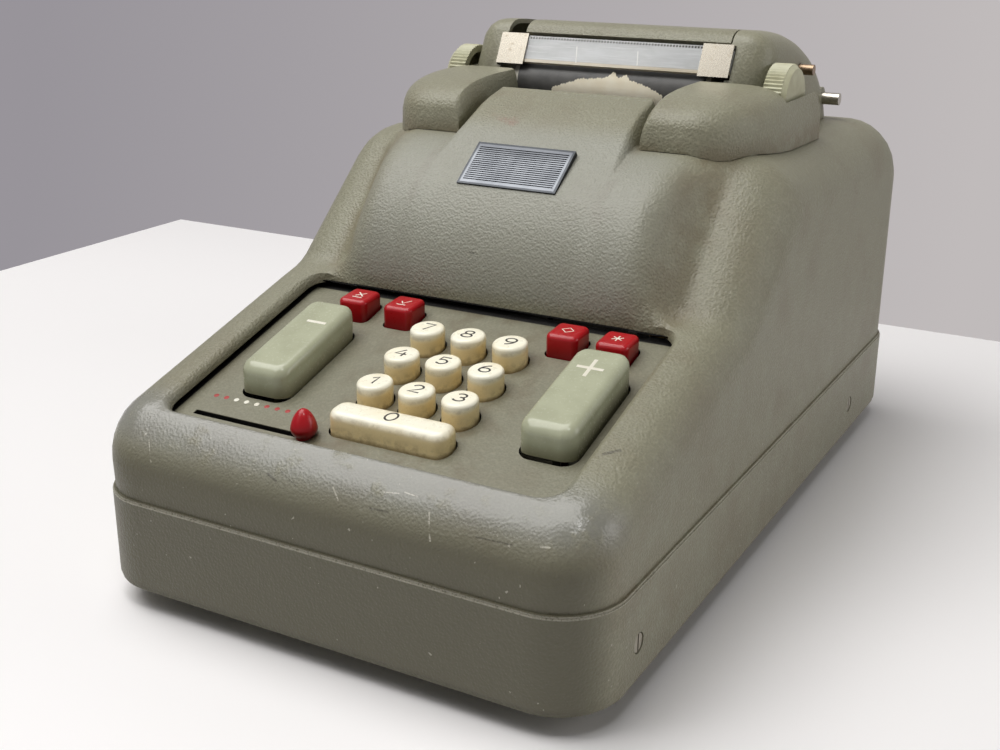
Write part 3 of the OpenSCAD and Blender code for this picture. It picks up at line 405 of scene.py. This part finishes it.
acrylicLook = {"clear": rgb(236, 238, 238), "haze": rgb(206, 208, 210), "edge": rgb(206, 190, 156),
               "line": rgb(240, 240, 236), "tooth": rgb(50, 46, 40), "start": -200.0, "pitch": 1.5}


# hazy bar with a cream lower edge, two white guide lines and a toothed upper edge
def clearAcrylic():
    f = Finish("clearAcrylic")
    haze = f.noise(6, 4.0, 0.65, (0.3, 1, 1))
    scratch = f.noise(0.8, 2.0, 0.6, (0.05, 1, 1)).step(0.5, 0.75)
    high = (f.z - tearBar["z"]) * math.cos(tearBar["lean"]) + (f.y - tearBar["y"]) * math.sin(tearBar["lean"])
    edge = high.step(1.9, 1.2)
    left = f.stroke((-18.1, 52.8, 201.1), (-16.9, 49.6, 194.5), 0.5)
    right = f.stroke((13.3, 52.6, 200.5), (14.3, 49.9, 194.9), 0.5)
    lines = left.most(right)
    saw = ((f.x - acrylicLook["start"]) / acrylicLook["pitch"]).fraction()
    teeth = high.band(12.0, 0.7, 0.25) * saw.band(0.5, 0.45, 0.12)
    tone = f.mix(haze.step(0.4, 0.7) * 0.5, acrylicLook["clear"], acrylicLook["haze"])
    tone = f.mix(edge * 0.8, tone, acrylicLook["edge"])
    tone = f.mix(lines, tone, acrylicLook["line"])
    tone = f.mix(teeth, tone, acrylicLook["tooth"])
    solid = 0.52 + haze.step(0.35, 0.75) * 0.2 + scratch * 0.1
    f.set({"Base Color": tone, "Roughness": 0.07 + scratch * 0.22,
           "Alpha": solid.most(edge * 0.85).most(lines * 0.8).most(teeth)})
    return f


finishes = {
    "hammered_enamel": hammeredEnamel("hammeredEnamel", 1.0, 0.9, caseWear),
    "shoulder_enamel": hammeredEnamel("shoulderEnamel", 1.03, 0.85, shoulderWear),
    "cap_enamel": hammeredEnamel("capEnamel", 1.03, 0.4),
    "deck_enamel": hammeredEnamel("deckEnamel", 0.84, 0.3, deckWear),
    "cream_key": creamPlastic(),
    "green_bar": glossPlastic("greenBar", rgb(176, 179, 152), rgb(96, 92, 64), 0.2, 0.35),
    "red_key": glossPlastic("redKey", rgb(176, 6, 20), rgb(110, 4, 12), 0.24, 0.2),
    "foot_rubber": dullFinish("footRubber", rgb(38, 37, 35), rgb(24, 24, 23), 0.8),
    "platen_rubber": dullFinish("platenRubber", rgb(86, 85, 82), rgb(60, 60, 59), 0.4),
    "ring_plastic": dullFinish("ringPlastic", rgb(222, 218, 204), rgb(190, 184, 164), 0.45),
    "knob_plastic": dullFinish("knobPlastic", rgb(190, 189, 160), rgb(160, 156, 124), 0.42),
    "plate_chrome": metal("plateChrome", rgb(116, 118, 121), 0.34, rgb(92, 91, 88)),
    "clear_acrylic": clearAcrylic(),
    "black_bracket": dullFinish("blackBracket", rgb(26, 26, 26), rgb(40, 36, 32), 0.4),
    "screw_steel": metal("screwSteel", rgb(170, 164, 150), 0.38, rgb(96, 80, 60)),
    "inlet_plastic": dullFinish("inletPlastic", rgb(28, 28, 28), rgb(40, 39, 37), 0.5),
    "bright_steel": metal("brightSteel", rgb(186, 182, 172), 0.3, rgb(120, 104, 84), (0.2, 1, 1)),
    "frame_steel": metal("frameSteel", rgb(150, 150, 148), 0.45, rgb(108, 98, 86)),
    "lever_brass": metal("leverBrass", rgb(150, 130, 108), 0.36, rgb(84, 60, 42)),
    "gear_brass": metal("gearBrass", rgb(196, 164, 96), 0.35, rgb(128, 98, 54)),
    "motor_paint": dullFinish("motorPaint", rgb(52, 54, 56), rgb(38, 38, 40), 0.45),
    "paper": dullFinish("paper", rgb(252, 244, 222), rgb(242, 230, 202), 0.85, 0.7, 0.2),
    "spool_metal": metal("spoolMetal", rgb(90, 90, 92), 0.4, rgb(60, 56, 50)),
    "ribbon_cloth": dullFinish("ribbonCloth", rgb(28, 28, 38), rgb(18, 18, 24), 0.85, 0.4, 0.3),
}
# pieces whose finish differs from their slot's
ownFinish = {
    "name_plate": ribbedChrome(),
    "tear_bar_clips": metal("clipChrome", rgb(150, 145, 134), 0.28, rgb(124, 111, 90)),
    "main_shaft": metal("oiledSteel", rgb(52, 49, 44), 0.55, rgb(36, 32, 28)),
    "paper_roll": woundPaper("woundPaper", rgb(232, 224, 200), rgb(190, 176, 142)),
}
inks = {
    "digit": dullFinish("digitInk", rgb(34, 31, 28), rgb(58, 52, 44), 0.55, 0.4),
    "white": dullFinish("whiteFill", rgb(238, 235, 222), rgb(214, 208, 188), 0.5, 0.4),
    "red": dullFinish("redDot", rgb(170, 52, 50), rgb(140, 44, 40), 0.5, 0.4),
}
print("finishes made:", len(finishes) + len(ownFinish) + len(inks))


def coat(piece, finish):
    piece.data.materials.clear()
    piece.data.materials.append(finish.material)


def finishOf(node):
    return ownFinish.get(node, finishes[slotOf[node]])


for name, obj in nodes.items():
    coat(obj, finishOf(name))


def pick(piece):
    if bpy.context.object and bpy.context.object.mode != "OBJECT":
        bpy.ops.object.mode_set(mode="OBJECT")
    bpy.ops.object.select_all(action="DESELECT")
    piece.select_set(True)
    bpy.context.view_layer.objects.active = piece
    return piece


def settle(piece, body, finish):
    coat(piece, finish)
    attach(piece, body)


# corners of triangles that lie closer than this are one corner, in millimetres
weld = 0.02


# a copy of a CAD node with its loose triangles merged and its curved faces shaded smooth
def smoothed(node, angle):
    piece = bpy.data.objects.new(node + "_skin", nodes[node].data.copy())
    bpy.context.scene.collection.objects.link(piece)
    pick(piece)
    if piece.data.has_custom_normals:
        bpy.ops.mesh.customdata_custom_splitnormals_clear()
    bpy.ops.object.mode_set(mode="EDIT")
    bpy.ops.mesh.select_all(action="SELECT")
    bpy.ops.mesh.remove_doubles(threshold=weld * mm)
    bpy.ops.object.mode_set(mode="OBJECT")
    bpy.ops.object.shade_smooth_by_angle(angle=math.radians(angle))
    even = piece.modifiers.new("even", "WEIGHTED_NORMAL")
    even.keep_sharp = True
    bpy.ops.object.modifier_apply(modifier=even.name)
    settle(piece, bodyOf[node], finishOf(node))
    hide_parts(node)


digitKeys = ["key_%d" % n for n in range(10)]
redKeys = ["non_add_key", "repeat_key", "subtotal_key", "total_key"]
skins = {"top_cover": 58, "left_shoulder": 34, "right_shoulder": 34, "left_end_cap": 30, "right_end_cap": 30,
         "roll_cover": 24, "column_knob": 45, "minus_bar": 50, "plus_bar": 50}
skins.update({key: 50 for key in digitKeys + redKeys})
for node, angle in skins.items():
    smoothed(node, angle)
print("smooth skins:", len(skins))


# painted strokes are flattened to a share of their width and stand this much over the top
ink = {"flat": 0.12, "rise": 0.02}


# place on the top of a key: v0 is its middle on the deck, up its height there
def onTop(x, v, v0, up, tilt):
    middle = onDeck(x, v0, up)
    at = onDeck(x, v, up)
    return Vector((x * mm, at.y, middle.z + (at.y - middle.y) * math.tan(tilt) + ink["rise"] * mm))


def arc(cx, cy, rx, ry, start, end, steps=14):
    turns = [math.radians(start + (end - start) * i / steps) for i in range(steps + 1)]
    return [(cx + rx * math.cos(t), cy + ry * math.sin(t)) for t in turns]


# flat round-ended strokes, drawn in millimetres and laid on a tilted top
def inkStrokes(name, strokes, width, place, tilt, body, shade):
    line = bpy.data.curves.new(name, "CURVE")
    line.dimensions = "3D"
    line.bevel_depth = width / 2 * mm
    line.bevel_resolution = 2
    line.use_fill_caps = True
    for points in strokes:
        closed = math.dist(points[0], points[-1]) < 0.001
        points = points[:-1] if closed else points
        spline = line.splines.new("POLY")
        spline.points.add(len(points) - 1)
        for point, (x, y) in zip(spline.points, points):
            point.co = (x * mm, y * mm, 0, 1)
        spline.use_cyclic_u = closed
    piece = bpy.data.objects.new(name, line)
    bpy.context.scene.collection.objects.link(piece)
    pick(piece)
    bpy.ops.object.convert(target="MESH")
    piece = bpy.context.object
    flat = Matrix.Diagonal((1, 1, ink["flat"], 1))
    piece.data.transform(Matrix.Translation(place) @ Matrix.Rotation(tilt, 4, "X") @ flat)
    bpy.ops.object.shade_smooth_by_angle(angle=math.radians(60))
    settle(piece, body, inks[shade])


figures = {
    "0": [arc(0, 0, 2.1, 3.2, 90, 450, 24)],
    "1": [[(-1.5, 1.5), (0.4, 3.2), (0.4, -3.2)]],
    "2": [arc(0, 1.3, 1.9, 1.9, 165, -38) + [(-2.0, -3.2), (2.2, -3.2)]],
    "3": [arc(0, 1.6, 1.7, 1.6, 155, -88) + arc(0, -1.45, 2.0, 1.75, 88, -155)],
    "4": [[(0.5, 3.2), (-2.2, -1.1), (2.3, -1.1)], [(1.1, 0.7), (1.1, -3.2)]],
    "5": [[(1.9, 3.2), (-1.3, 3.2), (-1.6, 0.5)] + arc(-0.1, -1.1, 2.0, 2.1, 132, -145)],
    "6": [arc(0, -1.3, 2.0, 1.9, 180, 540, 20), arc(2.0, -1.3, 4.0, 4.6, 180, 105, 10)],
    "7": [[(-2.0, 3.2), (2.1, 3.2), (-0.4, -3.2)]],
    "8": [arc(0, 1.65, 1.6, 1.55, 90, 450, 18), arc(0, -1.55, 2.0, 1.65, 90, 450, 20)],
}
figures["9"] = [[(-x, -y) for x, y in points] for points in figures["6"]]
keyBlock = {"x": deck["keysX"], "column": 19.0, "row": 19.8, "high": 8.7, "zeroV": -37.8, "zeroHigh": 8.2,
            "tilt": math.radians(6), "stroke": 0.85, "wide": 1.12, "tall": 0.92}
for figure, strokes in figures.items():
    n = int(figure)
    if n:
        column, row = (n - 1) % 3 - 1, (n - 1) // 3 - 1
        x, v, high = keyBlock["x"] + column * keyBlock["column"], row * keyBlock["row"], keyBlock["high"]
    else:
        x, v, high = keyBlock["x"], keyBlock["zeroV"], keyBlock["zeroHigh"]
    strokes = [[(a * keyBlock["wide"], b * keyBlock["tall"]) for a, b in points] for points in strokes]
    inkStrokes("figure_" + figure, strokes, keyBlock["stroke"], onTop(x, v, v, high, keyBlock["tilt"]),
               keyBlock["tilt"], "key_%d_body" % n, "digit")
print("figures on the keys:", len(figures))

barTop = {"v": -6.2, "high": 13.0, "stroke": 1.5}
barMarks = {
    "plus_sign": {"body": "plus_bar_body", "x": 68.6, "v": 5.6,
                  "strokes": [[(-5.4, 0), (5.4, 0)], [(0, -5.6), (0, 5.6)]]},
    "minus_sign": {"body": "minus_bar_body", "x": -53.6, "v": 2.9, "strokes": [[(-4.6, 0), (4.6, 0)]]},
}
for name, mark in barMarks.items():
    place = onTop(mark["x"], mark["v"], barTop["v"], barTop["high"], deck["slope"])
    inkStrokes(name, mark["strokes"], barTop["stroke"], place, deck["slope"],
               mark["body"], "white")

# plain signs on the red keys
redTop = {"v": 35.2, "middle": 35.5, "high": 7.8, "stroke": 0.55}
keySigns = {
    "non_add_key": {"x": -53.4, "strokes": [[(-1.9, -1.2), (1.9, 2.4)], [(-1.9, 2.4), (1.9, -1.2)],
                                            [(-2.4, -2.6), (2.4, -2.6)]]},
    "repeat_key": {"x": -31.0, "strokes": [[(-1.7, 0.8), (-0.2, -1.2), (2.2, 2.4)],
                                           [(-2.4, -2.6), (2.0, -2.6)]]},
    "subtotal_key": {"x": 45.3, "strokes": [[(0, 2.3), (2.5, 0), (0, -2.3), (-2.5, 0), (0, 2.3)]]},
    "total_key": {"x": 66.6, "strokes": [[(0, -2.4), (0, 2.4)], [(-2.1, -1.2), (2.1, 1.2)],
                                         [(-2.1, 1.2), (2.1, -1.2)]]},
}
for node, sign in keySigns.items():
    place = onTop(sign["x"], redTop["v"], redTop["middle"], redTop["high"], keyBlock["tilt"])
    inkStrokes(node + "_sign", sign["strokes"], redTop["stroke"], place, keyBlock["tilt"],
               node + "_body", "white")
print("signs on bars and red keys:", len(barMarks) + len(keySigns))

# painted dots over the column slot
dots = {"first": -75.8, "pitch": 5.05, "v": -36.4, "radius": 1.1, "thick": 0.3, "edge": 0.1, "sink": -0.07,
        "order": "rrwwwrrrww"}
for i, tone in enumerate(dots["order"]):
    bpy.ops.object.select_all(action="DESELECT")
    bpy.ops.mesh.primitive_cylinder_add(vertices=20, radius=dots["radius"] * mm, depth=dots["thick"] * mm)
    dot = pick(bpy.context.object)
    dot.name = "column_dot_%d" % (i + 1)
    edge = dot.modifiers.new("edge", "BEVEL")
    edge.width = dots["edge"] * mm
    edge.segments = 2
    bpy.ops.object.modifier_apply(modifier=edge.name)
    place = onDeck(dots["first"] + i * dots["pitch"], dots["v"], dots["sink"])
    dot.data.transform(Matrix.Translation(place) @ Matrix.Rotation(deck["slope"], 4, "X"))
    bpy.ops.object.shade_smooth_by_angle(angle=math.radians(40))
    slot, shade = ("red_key", "red") if tone == "r" else ("ring_plastic", "white")
    settle(dot, "chassis", inks[shade])
print("dots:", len(dots["order"]))

# paper from the roll, under the platen and up to its torn edge
tornPaper = {"half": 28.4, "columns": 160, "rows": 44, "gap": 0.55, "arcEnd": 245.17, "rollAngle": -114.83,
             "edge": 151.0, "fall": 27.0, "middle": 4.0, "tooth": 2.6, "pitch": 1.42, "thick": 0.15,
             "wave": 0.8, "waves": 1.7, "onPlaten": 0.72, "lift": 0.35, "liftFrom": 165, "liftOver": 25,
             "peaks": ((2.5, 12.0, 2.1), (8.8, 9.5, 1.7), (-14.0, 3.0, 2.5))}


# angle round the platen at which the torn edge stands, in degrees
def tornAngle(x):
    p = tornPaper
    span = p["half"] + math.copysign(p["middle"], p["middle"] - x)
    angle = p["edge"] + p["fall"] * ((x - p["middle"]) / span) ** 2
    for place, rise, wide in p["peaks"]:
        angle -= rise * math.exp(-((x - place) / wide) ** 2)
    return angle + p["tooth"] * abs((x / p["pitch"]) % 1 * 2 - 1) + p["wave"] * math.sin(x * p["waves"])


# share runs from the torn edge round the platen and on to the roll
def paperPoint(x, share):
    p = tornPaper
    start = tornAngle(x)
    radius = platenAt["radius"] + p["gap"]
    if share < p["onPlaten"]:
        angle = start + (p["arcEnd"] - start) * share / p["onPlaten"]
        radius += p["lift"] * max(0.0, (p["liftFrom"] - angle) / p["liftOver"])
        turn = math.radians(angle)
        return x, platenAt["y"] + radius * math.cos(turn), platenAt["z"] + radius * math.sin(turn)
    part = (share - p["onPlaten"]) / (1 - p["onPlaten"])
    turn, end = math.radians(p["arcEnd"]), math.radians(p["rollAngle"])
    far = rollAt["radius"] + p["gap"]
    y = (platenAt["y"] + radius * math.cos(turn)) * (1 - part) + (rollAt["y"] + far * math.cos(end)) * part
    z = (platenAt["z"] + radius * math.sin(turn)) * (1 - part) + (rollAt["z"] + far * math.sin(end)) * part
    return x, y, z


def bentSheet(name, columns, rows, shape, thick):
    bpy.ops.object.select_all(action="DESELECT")
    bpy.ops.mesh.primitive_grid_add(x_subdivisions=columns, y_subdivisions=rows, size=1)
    piece = pick(bpy.context.object)
    piece.name = name
    for vertex in piece.data.vertices:
        vertex.co = Vector(shape(vertex.co.x + 0.5, vertex.co.y + 0.5)) * mm
    sheet = piece.modifiers.new("sheet", "SOLIDIFY")
    sheet.thickness = thick * mm
    sheet.offset = 0
    bpy.ops.object.modifier_apply(modifier=sheet.name)
    bpy.ops.object.shade_smooth_by_angle(angle=math.radians(40))
    return piece


paper = bentSheet("torn_paper", tornPaper["columns"], tornPaper["rows"],
                  lambda u, v: paperPoint(tornPaper["half"] * (2 * u - 1), 1 - v), tornPaper["thick"])
settle(paper, bodyOf["paper_strip"], finishes["paper"])
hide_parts("paper_strip")

# inked ribbon between the two spools, with a slight ripple
ribbonRun = {"half": 65.9, "y": 44.55, "low": 167.6, "high": 176.5, "thick": 0.1, "columns": 90, "rows": 8,
             "ripple": 0.1, "along": 60, "across": 5}


def ribbonPoint(u, v):
    r = ribbonRun
    y = r["y"] + r["ripple"] * math.sin(u * r["along"]) * math.sin(v * r["across"])
    return r["half"] * (2 * u - 1), y, r["low"] + (r["high"] - r["low"]) * v


ribbon = bentSheet("inked_ribbon", ribbonRun["columns"], ribbonRun["rows"], ribbonPoint, ribbonRun["thick"])
settle(ribbon, bodyOf["ribbon"], finishes["ribbon_cloth"])
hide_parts("ribbon")
print("paper and ribbon laid")

# the photograph's camera
shot = {"place": (0.26394, -0.52565, 0.26639), "azimuth": 29.17, "elevation": 19.68, "roll": 0.23,
        "lens": 47.849, "sensor": 36, "nearest": 0.02}
turn, lift, roll = (math.radians(shot[k]) for k in ("azimuth", "elevation", "roll"))
back = Vector((math.sin(turn) * math.cos(lift), -math.cos(turn) * math.cos(lift), math.sin(lift)))
right = Vector((math.cos(turn), math.sin(turn), 0))
up = back.cross(right)
sideways = right * math.cos(roll) + up * math.sin(roll)
upwards = up * math.cos(roll) - right * math.sin(roll)
bpy.ops.object.camera_add(location=shot["place"])
camera = bpy.context.object
camera.rotation_euler = Matrix((sideways, upwards, back)).transposed().to_euler()
camera.data.sensor_width = shot["sensor"]
camera.data.sensor_fit = "HORIZONTAL"
camera.data.lens = shot["lens"]
camera.data.clip_start = shot["nearest"]
bpy.context.scene.camera = camera

# table, backdrop and lamps
studio = {"table": rgb(248, 246, 246), "shade": rgb(242, 240, 240), "left": -0.542, "right": 1.4,
          "front": -1.4, "back": 0.34}
tableFinish = Finish("paleTable")
tableTone = tableFinish.mix(tableFinish.noise(200) * 0.4, studio["table"], studio["shade"])
tableFinish.set({"Base Color": tableTone, "Roughness": 0.5})
bpy.ops.object.select_all(action="DESELECT")
bpy.ops.mesh.primitive_plane_add(size=1)
table = pick(bpy.context.object)
table.name = "table"
table.location = ((studio["left"] + studio["right"]) / 2, (studio["front"] + studio["back"]) / 2, 0)
table.scale = (studio["right"] - studio["left"], studio["back"] - studio["front"], 1)
bpy.ops.object.transform_apply(location=True, rotation=True, scale=True)
table.data.materials.append(tableFinish.material)

# the world lights the object softly; what the camera and polished metal see of it is the grey backdrop,
# painted with shade that makes it darker towards the left
backdrop = {"left": rgb(152, 148, 154), "right": rgb(192, 187, 187), "light": rgb(232, 232, 238),
            "strength": 0.05, "from": -0.74, "to": -0.16}
world = bpy.data.worlds.new("studioWorld")
bpy.context.scene.world = world
world.use_nodes = True
sky = world.node_tree
soft = sky.nodes["Background"]
soft.inputs["Color"].default_value = backdrop["light"]
soft.inputs["Strength"].default_value = backdrop["strength"]
seen = sky.nodes.new("ShaderNodeBackground")
way = sky.nodes.new("ShaderNodeSeparateXYZ")
sky.links.new(sky.nodes.new("ShaderNodeTexCoord").outputs["Generated"], way.inputs[0])
across = sky.nodes.new("ShaderNodeMapRange")
across.inputs["From Min"].default_value = backdrop["from"]
across.inputs["From Max"].default_value = backdrop["to"]
sky.links.new(way.outputs[0], across.inputs["Value"])
shades = sky.nodes.new("ShaderNodeMix")
shades.data_type = "RGBA"
shades.inputs[6].default_value = backdrop["left"]
shades.inputs[7].default_value = backdrop["right"]
sky.links.new(across.outputs[0], shades.inputs[0])
sky.links.new(shades.outputs[2], seen.inputs["Color"])
lightPath = sky.nodes.new("ShaderNodeLightPath")
total = lightPath.outputs["Is Camera Ray"]
for ray in ("Is Glossy Ray", "Is Transmission Ray"):
    added = sky.nodes.new("ShaderNodeMath")
    added.operation = "MAXIMUM"
    sky.links.new(total, added.inputs[0])
    sky.links.new(lightPath.outputs[ray], added.inputs[1])
    total = added.outputs[0]
blend = sky.nodes.new("ShaderNodeMixShader")
sky.links.new(total, blend.inputs[0])
sky.links.new(soft.outputs[0], blend.inputs[1])
sky.links.new(seen.outputs[0], blend.inputs[2])
sky.links.new(blend.outputs[0], sky.nodes["World Output"].inputs["Surface"])

lamps = {
    "key": {"place": (-0.6, -0.28, 1.6), "size": 1.5, "power": 32, "colour": (1.0, 0.99, 0.975)},
    "fill": {"place": (1.5, 0.45, 0.65), "size": 0.9, "power": 6, "colour": (1.0, 0.99, 0.97)},
    "front": {"place": (-0.8, -1.3, 0.97), "size": 0.9, "power": 1.2, "colour": (1.0, 1.0, 1.0)},
    "glint": {"place": (0.42, -0.6, 1.55), "size": 0.3, "power": 3.2, "colour": (1.0, 1.0, 1.0)},
}
lampAim = Vector((0, 0, 0.1))
for name, lamp in lamps.items():
    bpy.ops.object.light_add(type="AREA", location=lamp["place"])
    light = bpy.context.object
    light.name = name + "Lamp"
    light.data.size = lamp["size"]
    light.data.energy = lamp["power"]
    light.data.color = lamp["colour"]
    light.rotation_euler = (lampAim - Vector(lamp["place"])).to_track_quat("-Z", "Y").to_euler()
bpy.context.scene.view_settings.view_transform = "Standard"
print("camera, table and lamps set")
